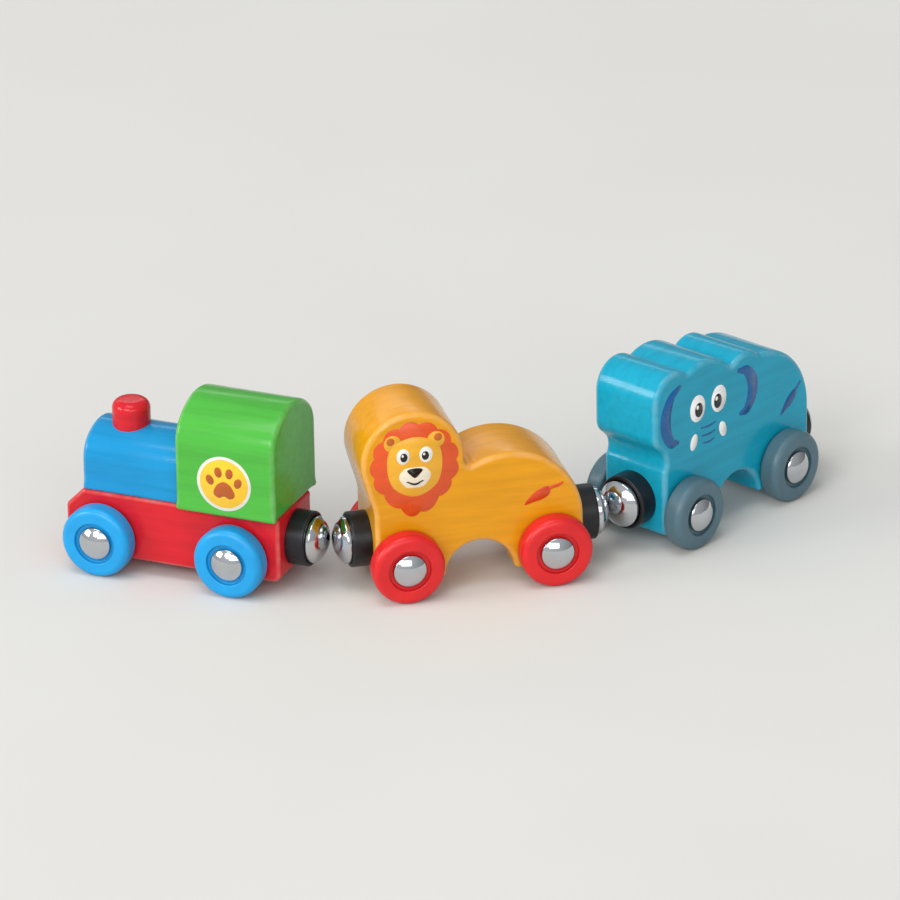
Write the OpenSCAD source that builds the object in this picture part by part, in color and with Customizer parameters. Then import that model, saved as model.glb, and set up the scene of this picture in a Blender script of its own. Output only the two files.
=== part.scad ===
// Wooden toy train: a locomotive, a lion wagon and an elephant wagon on magnet couplers.
// The train heads towards -X, its left side is -Y, and it stands on the plane z = 0.
// The origin lies on the ground in the middle of the train's footprint.
// Lengths in millimetres, angles in degrees.

/* [Curve of the train] */
// Sideways bend between the locomotive and the lion wagon
loco_bend = -36.8; // [-39:0.1:39]
// Sideways bend between the lion wagon and the elephant wagon
elephant_bend = 34.5; // [-39:0.1:39]
// Largest bend that a pair of magnets allows to either side
bend_max = 39; // [38:0.5:45]

/* [Wooden bodies] */
// Width of the chassis, the boiler and both wagon bodies
body_w = 23; // [20:0.5:28]
// Height of the undersides above the ground
ground_gap = 4.3; // [3:0.1:6]
// Radius of the corners at the undersides
foot_r = 2.5; // [1:0.1:4]
// Radial gap of glued and pressed fits
seat_gap = 0.05; // [0.02:0.01:0.1]

/* [Wheels and axles] */
// Diameter of a wheel
wheel_d = 21; // [18:0.5:23]
// Width of a wheel
wheel_w = 6; // [5:0.1:8]
// Radius of a wheel's outer edge
wheel_edge_r = 2; // [0.5:0.1:2.5]
// Radius of a wheel's inner edge
wheel_back_r = 1; // [0.3:0.1:2]
// Gap between a wheel and the body beside it
wheel_gap = 0.5; // [0.3:0.1:1]
// Diameter of the recess round the push cap
recess_d = 12.2; // [10.4:0.1:13]
// Depth of that recess
recess_depth = 1.2; // [0.8:0.1:2]
// Diameter of an axle
axle_d = 4; // [3:0.1:5]
// Radial running gap between wheel and axle
running_gap = 0.05; // [0.02:0.01:0.1]
// Diameter of a push cap
cap_d = 9.8; // [8:0.1:10.6]
// Height of the straight rim of a push cap
cap_rim = 0.8; // [0.4:0.1:1.2]
// Height of a push cap above the wheel's face
cap_rise = 1.8; // [1.4:0.1:2.5]
// Thickness of a push cap over the axle's end
cap_wall = 0.9; // [0.5:0.1:1.2]
// Running gap between a push cap and the floor of the recess
cap_gap = 0.3; // [0.2:0.05:0.5]

/* [Magnet couplers] */
// Height of the couplers above the ground
coupler_z = 14.3; // [13.5:0.1:15]
// Diameter of a coupler cup
cup_d = 16; // [15:0.1:17.5]
// Length of a coupler cup
cup_l = 5.6; // [4.5:0.1:7]
// Thickness of a cup's base
cup_base = 1.6; // [1:0.1:2]
// Radius of a cup's front edge
cup_edge_r = 0.6; // [0.2:0.1:0.6]
// Diameter of a magnet
magnet_d = 13.6; // [12:0.1:14]
// Length of a magnet outside its cup
magnet_out = 4.2; // [3.6:0.1:5]
// Radius of a magnet's domed face
dome_r = 9; // [8.2:0.1:12]
// Diameter of the small flat in the middle of the dome
magnet_flat_d = 4; // [2:0.1:6]
// Gap between two domes at the largest bend
dome_gap = 0.2; // [0.1:0.05:0.4]
// Diameter of a coupler screw
screw_d = 3; // [2.5:0.1:3.5]
// Length of a coupler screw under its head
screw_l = 7.5; // [6:0.1:7.8]
// Diameter of a screw's head
screw_head_d = 6; // [5:0.1:7]
// Height of a screw's head
screw_head_h = 1.2; // [0.8:0.1:1.6]
// Width of the slot in a screw's head
screw_slot_w = 0.9; // [0.6:0.1:1.2]

/* [Locomotive] */
// Distance between the locomotive's axles
loco_wheelbase = 41; // [36:0.5:44]
// Chassis length ahead of the front axle
nose_overhang = 11.5; // [10.5:0.1:17]
// Chassis length behind the rear axle
tail_overhang = 13.7; // [11.5:0.1:17]
// Height of the chassis's top above the ground
chassis_top = 24; // [23:0.1:27]
// Size of the bevel across the nose
nose_bevel = 5.4; // [2:0.1:8]
// Length of the chassis's deck ahead of the boiler
nose_deck = 5.5; // [5.5:0.1:9]
// Height of the boiler
boiler_h = 18; // [15:0.1:22]
// Radius of the boiler's crown
boiler_crown_r = 15; // [14.5:0.5:30]
// Radius where the boiler's crown runs into its sides
boiler_shoulder_r = 8; // [3:0.1:9]
// Length of the cab
cab_l = 30.6; // [27:0.1:34]
// How far the cab stands out behind the chassis
cab_overhang = 0.4; // [0:0.1:1.5]
// Width of the cab
cab_w = 30; // [26:0.1:34]
// Height of the cab
cab_h = 31.5; // [28:0.1:36]
// Radius of the cab's roof
cab_crown_r = 18; // [17.5:0.5:26]
// Radius where the roof runs into the cab's sides
cab_shoulder_r = 9; // [5:0.1:10]
// Diameter of the chimney
chimney_d = 11; // [9:0.1:13]
// Height of the chimney above the boiler
chimney_h = 7; // [5:0.1:12]
// Depth of the chimney's seat in the boiler
chimney_seat = 6; // [4:0.1:7]
// Distance of the chimney's middle behind the boiler's front
chimney_setback = 10.6; // [7.5:0.1:13]
// Radius of the chimney's top edge
chimney_edge_r = 2.6; // [0.5:0.1:3]
// Diameter of the dowels under boiler and cab
dowel_d = 6; // [4:0.1:8]
// Length of a dowel
dowel_l = 14; // [10:0.5:16]

/* [Lion wagon] */
// Distance between the lion wagon's axles
lion_wheelbase = 43; // [40:0.5:46]
// Body length ahead of the front axle
lion_chest = 8.3; // [6.8:0.1:10]
// Height at which the chest starts to lean forward
lion_chest_z = 24; // [22.5:0.1:27]
// Radius of the head
lion_head_r = 15; // [13:0.1:17]
// Distance of the head's middle behind the front axle
lion_head_back = 3; // [1.5:0.1:5]
// Height of the head's middle
lion_head_z = 41; // [38:0.1:44]
// Radius of the back
lion_back_r = 22; // [20:0.1:25]
// Distance of the back's middle ahead of the rear axle
lion_back_ahead = 12.7; // [11.5:0.1:15.5]
// Height of the back's middle
lion_back_z = 18.4; // [17.6:0.1:24]
// Radius of the arch between the wheels
lion_arch_r = 10; // [7:0.1:11]
// Place of the arch behind the middle of the wheelbase
lion_arch_x = 0.5; // [-2:0.1:3]

/* [Elephant wagon] */
// Distance between the elephant wagon's axles
elephant_wheelbase = 43; // [40:0.5:46]
// Body length ahead of the front axle
elephant_chest = 8.7; // [6.8:0.1:10]
// Radius of the front ear's upper lobe
ear_r = 8.7; // [7:0.1:10]
// Distance of that lobe ahead of the front axle
ear_ahead = 4; // [1.5:0.1:5.5]
// Height of that lobe
ear_z = 45.5; // [43:0.1:48]
// Radius of the front ear's lower lobe
ear_tip_r = 4.7; // [3.5:0.1:6]
// Distance of the lower lobe ahead of the front axle
ear_tip_ahead = 8; // [5.5:0.1:9.5]
// Height of the lower lobe
ear_tip_z = 36.3; // [34.5:0.1:42]
// Radius of the head
elephant_head_r = 15.5; // [13:0.1:17]
// Distance of the head's middle behind the front axle
elephant_head_back = 9; // [6.5:0.1:11.5]
// Height of the head's middle
elephant_head_z = 38; // [36:0.1:41]
// Radius of the rear ear
rear_ear_r = 9; // [7:0.1:11]
// Distance of the rear ear behind the front axle
rear_ear_back = 27.5; // [25.5:0.1:30.5]
// Height of the rear ear
rear_ear_z = 41; // [38:0.1:43]
// Radius of the back
elephant_back_r = 22.3; // [20:0.1:24]
// Distance of the back's middle ahead of the rear axle
elephant_back_ahead = 9.5; // [7.5:0.1:11.5]
// Height of the back's middle
elephant_back_z = 25; // [24:0.1:28]
// Radius of the groove under the front ear
groove_r = 5; // [3:0.1:6]
// Depth of that groove in the front wall
groove_depth = 1; // [0.4:0.1:3]
// Height of the groove's middle
groove_z = 27.4; // [26:0.1:32]
// Radius of the arch between the wheels
elephant_arch_r = 9.5; // [7:0.1:11]
// Place of the arch behind the middle of the wheelbase
elephant_arch_x = 2; // [-1:0.1:3]

/* [Hidden] */
$fn = 96;
LEFT = -1;
RIGHT = 1;
FRONT = -1;
REAR = 1;
// Spare length by which a cutting shape passes the face that it cuts
cut = 1;
// Depth by which the joined shapes of an outline reach into each other
weld = 0.3;
// Small angle at which a round shoulder meets the crown above it
crease = 3;

// Paint and metal colours
blue_paint = "#1a96de";
green_paint = "#4db93e";
red_paint = "#e3202c";
amber_paint = "#e8a81e";
teal_paint = "#12a0c8";
sky_blue = "#1aa5ee";
signal_red = "#e31e26";
slate_grey = "#6f7c84";
black_plastic = "#16171a";
chrome = "#d6d9dc";
steel = "#a7abb0";
bare_wood = "#dcb987";

// Places along an axle, measured from the train's midline
axle_z = wheel_d / 2;
wheel_inner_y = body_w / 2 + wheel_gap;
cap_inner = wheel_w - recess_depth + cap_gap;
cap_outer = wheel_w + cap_rise;
axle_end_y = wheel_inner_y + cap_outer - cap_wall - seat_gap;

// Places along a coupler, measured from the wall that carries it
dome_rise = dome_r - sqrt(pow(dome_r, 2) - pow(magnet_d / 2, 2));
flat_drop = dome_r - sqrt(pow(dome_r, 2) - pow(magnet_flat_d / 2, 2));
magnet_face = cup_l + magnet_out;
dome_apex = magnet_face + flat_drop;
pivot_out = dome_apex + (dome_r + dome_gap / 2) / cos(bend_max / 2) - dome_r;

// End walls, measured from the middles of the wheelbases, and the pivots between the magnets
chassis_front = loco_wheelbase / 2 + nose_overhang;
chassis_rear = loco_wheelbase / 2 + tail_overhang;
lion_back = [lion_wheelbase / 2 - lion_back_ahead, lion_back_z];
lion_front = lion_wheelbase / 2 + lion_chest;
lion_rear = lion_back.x + lion_back_r;
elephant_back = [elephant_wheelbase / 2 - elephant_back_ahead, elephant_back_z];
elephant_front = elephant_wheelbase / 2 + elephant_chest;
elephant_rear = elephant_back.x + elephant_back_r;
lion_front_pivot = -(lion_front + pivot_out);
lion_rear_pivot = lion_rear + pivot_out;
loco_pivot = chassis_rear + pivot_out;
elephant_pivot = -(elephant_front + pivot_out);

// Middles of the outer vehicles' wheelbases, seen from the lion wagon's own middle
loco_middle = [lion_front_pivot, 0] - loco_pivot * [cos(loco_bend), sin(loco_bend)];
elephant_middle = [lion_rear_pivot, 0] - elephant_pivot * [cos(elephant_bend), sin(elephant_bend)];

// How far the wheels and the rear magnet reach along and across the train, and the footprint's middle
wheel_outer_y = wheel_inner_y + wheel_w;
function wheel_reach(wheelbase) =
    [wheelbase / 2 + wheel_d / 2 - wheel_edge_r, wheel_outer_y - wheel_edge_r];
function reach_along(wheelbase, bend) =
    wheel_reach(wheelbase) * [cos(bend), abs(sin(bend))] + wheel_edge_r;
function reach_across(wheelbase, bend) =
    wheel_reach(wheelbase) * [abs(sin(bend)), cos(bend)] + wheel_edge_r;
loco_across = reach_across(loco_wheelbase, loco_bend);
elephant_across = reach_across(elephant_wheelbase, elephant_bend);
lion_across = wheel_inner_y + cap_outer;
train_front = loco_middle.x - reach_along(loco_wheelbase, loco_bend);
train_rear = elephant_middle.x + (elephant_rear + dome_apex - dome_r) * cos(elephant_bend) + dome_r;
train_left = min(-lion_across, loco_middle.y - loco_across, elephant_middle.y - elephant_across);
train_right = max(lion_across, loco_middle.y + loco_across, elephant_middle.y + elephant_across);
footprint_middle = [train_front + train_rear, train_left + train_right] / 2;

// Places on the locomotive, measured from the middle of its wheelbase
boiler_front = chassis_front - nose_deck;
boiler_top = chassis_top + boiler_h;
chimney_x = boiler_front - chimney_setback;
cab_rear = chassis_rear + cab_overhang;
cab_front = cab_rear - cab_l;
cab_middle = cab_rear - cab_l / 2;
boiler_l = boiler_front + cab_front;
dowel_places = [
    [-boiler_front + boiler_l / 4, 0],
    [-boiler_front + boiler_l * 3 / 4, 0],
    [cab_middle, -body_w / 4],
    [cab_middle, body_w / 4],
];

// The point where a line from point p touches the circle (c, r) on the circle's side towards -X
function touch_point(p, c, r) =
    let (
        away = p - c,
        reach = norm(away),
        turn = atan2(away.y, away.x) - acos(r / reach)
    )
    c + r * [cos(turn), sin(turn)];

// Frames of the vehicles, each with its origin on the ground under the middle of its wheelbase
module in_lion() {
    translate(-footprint_middle) children();
}

module in_loco() {
    in_lion() translate(loco_middle) rotate([0, 0, loco_bend]) children();
}

module in_elephant() {
    in_lion() translate(elephant_middle) rotate([0, 0, elephant_bend]) children();
}

// Turns a side view, drawn in x and z, into a block of the given width about the midline
module block(width) {
    rotate([90, 0, 0]) linear_extrude(height = width, center = true) children();
}

// Stands a shape on a wheel's inner face, with +Z pointing outwards along the axle
module on_axle(x, side) {
    translate([x, side * wheel_inner_y, axle_z]) rotate([-90 * side, 0, 0]) children();
}

// Stands a shape on an end wall, with +Z pointing outwards along the coupler
module on_wall(x, end) {
    translate([x, 0, coupler_z]) rotate([0, 90 * end, 0]) children();
}

// Rectangle from x0 to x1 and z0 to z1 with both lower corners rounded
module footed_rectangle(x0, x1, z0, z1, r) {
    translate([x0, z0 + r]) square([x1 - x0, z1 - z0 - r]);
    translate([x0 + r, z0]) square([x1 - x0 - 2 * r, z1 - z0]);
    for (x = [x0 + r, x1 - r]) translate([x, z0 + r]) circle(r);
}

// Cross-section with upright sides, round shoulders and a crown, standing on y = 0
module arched_section(width, height, crown_r, shoulder_r) {
    crown = [0, height - crown_r];
    reach = sqrt(pow(crown_r, 2) + pow(shoulder_r, 2) - 2 * crown_r * shoulder_r * cos(crease));
    shoulder_x = width / 2 - shoulder_r;
    shoulder = [shoulder_x, crown.y + sqrt(pow(reach, 2) - pow(shoulder_x, 2))];
    beyond = crown + 2 * crown_r / reach * (shoulder - crown);
    translate([-width / 2, 0]) square([width, shoulder.y]);
    intersection() {
        translate(crown) circle(crown_r);
        union() {
            for (side = [LEFT, RIGHT]) translate([side * shoulder.x, shoulder.y]) circle(shoulder_r);
            polygon([
                [-shoulder.x, shoulder.y - weld],
                [shoulder.x, shoulder.y - weld],
                shoulder,
                beyond,
                [-beyond.x, beyond.y],
                [-shoulder.x, shoulder.y],
            ]);
        }
    }
}

// Upper half of a disc about the origin, which reaches a little into what lies under it
module half_disc(r) {
    intersection() {
        circle(r);
        translate([-r, -weld]) square([2 * r, r + weld]);
    }
}

// Half of a low dome's outline, of base radius r and height h, standing on y = 0
module half_dome(r, h) {
    sphere_r = (r * r + h * h) / (2 * h);
    intersection() {
        translate([0, h - sphere_r]) circle(sphere_r);
        square([r, h]);
    }
}

// Holes that both axles need in a body
module axle_holes(wheelbase) {
    for (x = [-wheelbase / 2, wheelbase / 2])
        translate([x, 0, axle_z]) rotate([90, 0, 0])
            cylinder(d = axle_d + 2 * seat_gap, h = body_w + 2 * cut, center = true);
}

// Hole that a coupler screw needs in an end wall
module screw_hole(x, end) {
    on_wall(x, end) translate([0, 0, cup_base - screw_l - seat_gap])
        cylinder(d = screw_d + 2 * seat_gap, h = screw_l + cut);
}

// Holes for the dowels, in the chassis and in what stands on it
module dowel_holes() {
    for (place = dowel_places)
        translate([place.x, place.y, chassis_top - dowel_l / 2 - seat_gap])
            cylinder(d = dowel_d + 2 * seat_gap, h = dowel_l + 2 * seat_gap);
}

module axle(x) {
    translate([x, 0, axle_z]) rotate([90, 0, 0])
        cylinder(d = axle_d, h = 2 * axle_end_y, center = true);
}

// Wheel with a rounded tread, a recess for the push cap and a bore for the axle
module wheel(x, side) {
    r = wheel_d / 2;
    on_axle(x, side) rotate_extrude() difference() {
        union() {
            translate([0, wheel_back_r]) square([r, wheel_w - wheel_back_r - wheel_edge_r]);
            square([r - wheel_back_r, wheel_w - wheel_edge_r]);
            translate([0, wheel_back_r]) square([r - wheel_edge_r, wheel_w - wheel_back_r]);
            translate([r - wheel_back_r, wheel_back_r]) circle(wheel_back_r);
            translate([r - wheel_edge_r, wheel_w - wheel_edge_r]) circle(wheel_edge_r);
        }
        translate([0, wheel_w - recess_depth]) square([recess_d / 2, recess_depth + cut]);
        translate([0, -cut]) square([axle_d / 2 + running_gap, wheel_w + 2 * cut]);
    }
}

// Domed push cap with a blind hole for the axle's end
module push_cap(x, side) {
    on_axle(x, side) translate([0, 0, cap_inner]) rotate_extrude() difference() {
        union() {
            square([cap_d / 2, cap_rim]);
            translate([0, cap_rim]) half_dome(cap_d / 2, cap_outer - cap_inner - cap_rim);
        }
        translate([0, -cut]) square([axle_d / 2 + seat_gap, cap_outer - cap_inner - cap_wall + cut]);
    }
}

module push_caps(wheelbase) {
    for (x = [-wheelbase / 2, wheelbase / 2], side = [LEFT, RIGHT]) push_cap(x, side);
}

// Cup that holds a magnet, open outwards, with a hole for its screw
module coupler_cup(x, end) {
    on_wall(x, end) rotate_extrude() difference() {
        union() {
            square([cup_d / 2, cup_l - cup_edge_r]);
            square([cup_d / 2 - cup_edge_r, cup_l]);
            translate([cup_d / 2 - cup_edge_r, cup_l - cup_edge_r]) circle(cup_edge_r);
        }
        translate([0, cup_base]) square([magnet_d / 2 + seat_gap, cup_l]);
        translate([0, -cut]) square([screw_d / 2 + seat_gap, cup_base + 2 * cut]);
    }
}

// Domed magnet with a small flat, hollowed behind for the screw's head
module coupler_magnet(x, end) {
    on_wall(x, end) rotate_extrude() difference() {
        union() {
            translate([0, cup_base]) square([magnet_d / 2, dome_apex - dome_rise - cup_base]);
            intersection() {
                translate([0, dome_apex - dome_r]) circle(dome_r);
                translate([0, cup_base]) square([magnet_d / 2, magnet_face - cup_base]);
            }
        }
        square([screw_head_d / 2 + seat_gap, cup_base + screw_head_h + seat_gap]);
    }
}

// Slotted screw with a blunt tip, its head on the floor of the cup
module coupler_screw(x, end) {
    tip_z = cup_base - screw_l;
    tip_l = screw_d / 2;
    tip_d = screw_d / 4;
    on_wall(x, end) difference() {
        union() {
            translate([0, 0, cup_base]) cylinder(d = screw_head_d, h = screw_head_h);
            translate([0, 0, tip_z + tip_l]) cylinder(d = screw_d, h = screw_l - tip_l);
            translate([0, 0, tip_z]) cylinder(d1 = tip_d, d2 = screw_d, h = tip_l);
        }
        translate([-screw_head_d, -screw_slot_w / 2, cup_base + screw_head_h / 2])
            cube([2 * screw_head_d, screw_slot_w, screw_head_h]);
    }
}

// Side views of the wooden bodies, in x and z
module chassis_outline() {
    nose_z = chassis_top - nose_bevel;
    footed_rectangle(-chassis_front, chassis_rear, ground_gap, nose_z, foot_r);
    polygon([
        [-chassis_front, nose_z],
        [chassis_rear, nose_z],
        [chassis_rear, chassis_top],
        [nose_bevel - chassis_front, chassis_top],
    ]);
}

module lion_outline() {
    head = [lion_head_back - lion_wheelbase / 2, lion_head_z];
    chest = [-lion_front, lion_chest_z];
    difference() {
        union() {
            footed_rectangle(-lion_front, lion_rear, ground_gap, lion_back_z, foot_r);
            translate(head) circle(lion_head_r);
            translate(lion_back) half_disc(lion_back_r);
            polygon([
                [-lion_front, lion_back_z - weld],
                lion_back,
                head,
                touch_point(chest, head, lion_head_r - weld),
                chest,
            ]);
        }
        translate([lion_arch_x, ground_gap]) circle(lion_arch_r);
    }
}

module elephant_outline() {
    axle_x = -elephant_wheelbase / 2;
    ear = [axle_x - ear_ahead, ear_z];
    ear_tip = [axle_x - ear_tip_ahead, ear_tip_z];
    head = [axle_x + elephant_head_back, elephant_head_z];
    rear_ear = [axle_x + rear_ear_back, rear_ear_z];
    ear_turn = ear_tip - ear;
    ear_lean = atan2(ear_turn.y, ear_turn.x) - acos((ear_r - ear_tip_r) / norm(ear_turn));
    ear_side = [cos(ear_lean), sin(ear_lean)];
    difference() {
        union() {
            footed_rectangle(-elephant_front, elephant_rear, ground_gap, elephant_back_z, foot_r);
            translate(ear) circle(ear_r);
            translate(ear_tip) circle(ear_tip_r);
            translate(head) circle(elephant_head_r);
            translate(rear_ear) circle(rear_ear_r);
            translate(elephant_back) half_disc(elephant_back_r);
            polygon([
                ear,
                ear + (ear_r - weld) * ear_side,
                ear_tip + (ear_tip_r - weld) * ear_side,
                ear_tip,
            ]);
            polygon([
                [-elephant_front, elephant_back_z - weld],
                elephant_back,
                rear_ear,
                head,
                ear,
                ear_tip,
                [-elephant_front, ear_tip_z],
            ]);
        }
        translate([groove_depth - groove_r - elephant_front, groove_z]) circle(groove_r);
        translate([elephant_arch_x, ground_gap]) circle(elephant_arch_r);
    }
}

// Locomotive
module loco_chassis() {
    in_loco() color(red_paint) difference() {
        block(body_w) chassis_outline();
        axle_holes(loco_wheelbase);
        screw_hole(chassis_rear, REAR);
        dowel_holes();
    }
}

module loco_boiler() {
    in_loco() color(blue_paint) difference() {
        translate([-boiler_front, 0, chassis_top]) rotate([90, 0, 90])
            linear_extrude(height = boiler_l)
                arched_section(body_w, boiler_h, boiler_crown_r, boiler_shoulder_r);
        translate([-chimney_x, 0, boiler_top - chimney_seat])
            cylinder(d = chimney_d + 2 * seat_gap, h = chimney_seat + cut);
        dowel_holes();
    }
}

module loco_cab() {
    in_loco() color(green_paint) difference() {
        translate([cab_front, 0, chassis_top]) rotate([90, 0, 90])
            linear_extrude(height = cab_rear - cab_front)
                arched_section(cab_w, cab_h, cab_crown_r, cab_shoulder_r);
        dowel_holes();
    }
}

module loco_chimney() {
    chimney_l = chimney_seat + chimney_h;
    in_loco() color(red_paint) translate([-chimney_x, 0, boiler_top - chimney_seat]) rotate_extrude() {
        square([chimney_d / 2, chimney_l - chimney_edge_r]);
        square([chimney_d / 2 - chimney_edge_r, chimney_l]);
        translate([chimney_d / 2 - chimney_edge_r, chimney_l - chimney_edge_r])
            intersection() {
                circle(chimney_edge_r);
                square(chimney_edge_r);
            }
    }
}

module loco_dowels() {
    in_loco() color(bare_wood) for (place = dowel_places)
        translate([place.x, place.y, chassis_top - dowel_l / 2]) cylinder(d = dowel_d, h = dowel_l);
}

module loco_front_axle() { in_loco() color(steel) axle(-loco_wheelbase / 2); }
module loco_rear_axle() { in_loco() color(steel) axle(loco_wheelbase / 2); }
module loco_front_left_wheel() { in_loco() color(sky_blue) wheel(-loco_wheelbase / 2, LEFT); }
module loco_front_right_wheel() { in_loco() color(sky_blue) wheel(-loco_wheelbase / 2, RIGHT); }
module loco_rear_left_wheel() { in_loco() color(sky_blue) wheel(loco_wheelbase / 2, LEFT); }
module loco_rear_right_wheel() { in_loco() color(sky_blue) wheel(loco_wheelbase / 2, RIGHT); }
module loco_hub_caps() { in_loco() color(chrome) push_caps(loco_wheelbase); }
module loco_rear_cup() { in_loco() color(black_plastic) coupler_cup(chassis_rear, REAR); }
module loco_rear_magnet() { in_loco() color(chrome) coupler_magnet(chassis_rear, REAR); }
module loco_coupler_screw() { in_loco() color(steel) coupler_screw(chassis_rear, REAR); }

// Lion wagon
module lion_body() {
    in_lion() color(amber_paint) difference() {
        block(body_w) lion_outline();
        axle_holes(lion_wheelbase);
        screw_hole(-lion_front, FRONT);
        screw_hole(lion_rear, REAR);
    }
}

module lion_front_axle() { in_lion() color(steel) axle(-lion_wheelbase / 2); }
module lion_rear_axle() { in_lion() color(steel) axle(lion_wheelbase / 2); }
module lion_front_left_wheel() { in_lion() color(signal_red) wheel(-lion_wheelbase / 2, LEFT); }
module lion_front_right_wheel() { in_lion() color(signal_red) wheel(-lion_wheelbase / 2, RIGHT); }
module lion_rear_left_wheel() { in_lion() color(signal_red) wheel(lion_wheelbase / 2, LEFT); }
module lion_rear_right_wheel() { in_lion() color(signal_red) wheel(lion_wheelbase / 2, RIGHT); }
module lion_hub_caps() { in_lion() color(chrome) push_caps(lion_wheelbase); }
module lion_front_cup() { in_lion() color(black_plastic) coupler_cup(-lion_front, FRONT); }
module lion_rear_cup() { in_lion() color(black_plastic) coupler_cup(lion_rear, REAR); }
module lion_front_magnet() { in_lion() color(chrome) coupler_magnet(-lion_front, FRONT); }
module lion_rear_magnet() { in_lion() color(chrome) coupler_magnet(lion_rear, REAR); }

module lion_coupler_screws() {
    in_lion() color(steel) {
        coupler_screw(-lion_front, FRONT);
        coupler_screw(lion_rear, REAR);
    }
}

// Elephant wagon
module elephant_body() {
    in_elephant() color(teal_paint) difference() {
        block(body_w) elephant_outline();
        axle_holes(elephant_wheelbase);
        screw_hole(-elephant_front, FRONT);
        screw_hole(elephant_rear, REAR);
    }
}

module elephant_front_axle() { in_elephant() color(steel) axle(-elephant_wheelbase / 2); }
module elephant_rear_axle() { in_elephant() color(steel) axle(elephant_wheelbase / 2); }

module elephant_front_left_wheel() {
    in_elephant() color(slate_grey) wheel(-elephant_wheelbase / 2, LEFT);
}

module elephant_front_right_wheel() {
    in_elephant() color(slate_grey) wheel(-elephant_wheelbase / 2, RIGHT);
}

module elephant_rear_left_wheel() {
    in_elephant() color(slate_grey) wheel(elephant_wheelbase / 2, LEFT);
}

module elephant_rear_right_wheel() {
    in_elephant() color(slate_grey) wheel(elephant_wheelbase / 2, RIGHT);
}

module elephant_hub_caps() { in_elephant() color(chrome) push_caps(elephant_wheelbase); }
module elephant_front_cup() { in_elephant() color(black_plastic) coupler_cup(-elephant_front, FRONT); }
module elephant_rear_cup() { in_elephant() color(black_plastic) coupler_cup(elephant_rear, REAR); }
module elephant_front_magnet() { in_elephant() color(chrome) coupler_magnet(-elephant_front, FRONT); }
module elephant_rear_magnet() { in_elephant() color(chrome) coupler_magnet(elephant_rear, REAR); }

module elephant_coupler_screws() {
    in_elephant() color(steel) {
        coupler_screw(-elephant_front, FRONT);
        coupler_screw(elephant_rear, REAR);
    }
}

loco_chassis();
loco_boiler();
loco_cab();
loco_chimney();
loco_dowels();
loco_front_axle();
loco_rear_axle();
loco_front_left_wheel();
loco_front_right_wheel();
loco_rear_left_wheel();
loco_rear_right_wheel();
loco_hub_caps();
loco_rear_cup();
loco_rear_magnet();
loco_coupler_screw();
lion_body();
lion_front_axle();
lion_rear_axle();
lion_front_left_wheel();
lion_front_right_wheel();
lion_rear_left_wheel();
lion_rear_right_wheel();
lion_hub_caps();
lion_front_cup();
lion_rear_cup();
lion_front_magnet();
lion_rear_magnet();
lion_coupler_screws();
elephant_body();
elephant_front_axle();
elephant_rear_axle();
elephant_front_left_wheel();
elephant_front_right_wheel();
elephant_rear_left_wheel();
elephant_rear_right_wheel();
elephant_hub_caps();
elephant_front_cup();
elephant_rear_cup();
elephant_front_magnet();
elephant_rear_magnet();
elephant_coupler_screws();
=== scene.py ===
"""Looks of a wooden toy train: a locomotive, a lion wagon and an elephant wagon on magnet couplers.

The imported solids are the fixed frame. Here the painted wooden blocks get rounded rims and prints, the
wheels, caps and couplers get finely turned surfaces, and every finish is made of shader nodes.
"""

import math

import bmesh
import bpy
import numpy as np
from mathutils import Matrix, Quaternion, Vector


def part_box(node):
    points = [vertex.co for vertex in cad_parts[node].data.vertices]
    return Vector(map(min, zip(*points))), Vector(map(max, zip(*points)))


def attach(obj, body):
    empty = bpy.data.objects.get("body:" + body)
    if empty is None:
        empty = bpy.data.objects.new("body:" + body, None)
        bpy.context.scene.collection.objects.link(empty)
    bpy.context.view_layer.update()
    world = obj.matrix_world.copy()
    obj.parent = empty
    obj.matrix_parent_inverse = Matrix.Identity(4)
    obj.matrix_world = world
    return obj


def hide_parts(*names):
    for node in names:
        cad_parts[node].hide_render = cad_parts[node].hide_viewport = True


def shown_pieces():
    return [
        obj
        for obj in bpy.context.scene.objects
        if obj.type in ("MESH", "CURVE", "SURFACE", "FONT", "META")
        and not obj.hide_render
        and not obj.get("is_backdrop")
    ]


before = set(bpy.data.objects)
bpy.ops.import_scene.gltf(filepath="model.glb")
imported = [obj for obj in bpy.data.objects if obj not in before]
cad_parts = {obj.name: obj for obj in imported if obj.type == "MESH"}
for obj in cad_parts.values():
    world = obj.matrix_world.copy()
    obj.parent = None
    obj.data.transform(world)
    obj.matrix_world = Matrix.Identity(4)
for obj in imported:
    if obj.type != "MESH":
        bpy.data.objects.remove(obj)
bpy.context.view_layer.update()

MM = 0.001
UP = np.array([0.0, 0.0, 1.0])

# Sizes that the solids also have, in millimetres
FOOT_R = 2.5
NOSE_BEVEL = 5.4
BOILER_CROWN_R = 15.0
BOILER_SHOULDER_R = 8.0
CAB_CROWN_R = 18.0
CAB_SHOULDER_R = 9.0
CHIMNEY_EDGE = 2.6
WHEEL_EDGE = 2.0
WHEEL_BACK_EDGE = 1.0
RECESS_R = 6.1
RECESS_DEPTH = 1.2
BORE_R = 2.05
CAP_RIM = 0.8
CAP_GAP = 0.3
CUP_EDGE = 0.6
DOME_R = 9.0
DOME_FLAT_R = 2.0
CHEST_Z = 24.0
LION_ARCH_X = 0.5
LION_ARCH_R = 10.0
ELEPHANT_ARCH_X = 2.0
ELEPHANT_ARCH_R = 9.5
GROOVE_Z = 27.4
GROOVE_R = 5.0
GROOVE_DEPTH = 1.0

# Circles of the animals' side views in millimetres: way behind the front axle, height and radius
LION_HEAD = (3.0, 41.0, 15.0)
ELEPHANT_REAR_EAR = (27.5, 41.0, 9.0)
ELEPHANT_HEAD = (9.0, 38.0, 15.5)
ELEPHANT_FRONT_EAR = (-4.0, 45.5, 8.7)
ELEPHANT_EAR_TIP = (-8.0, 36.3, 4.7)

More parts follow.
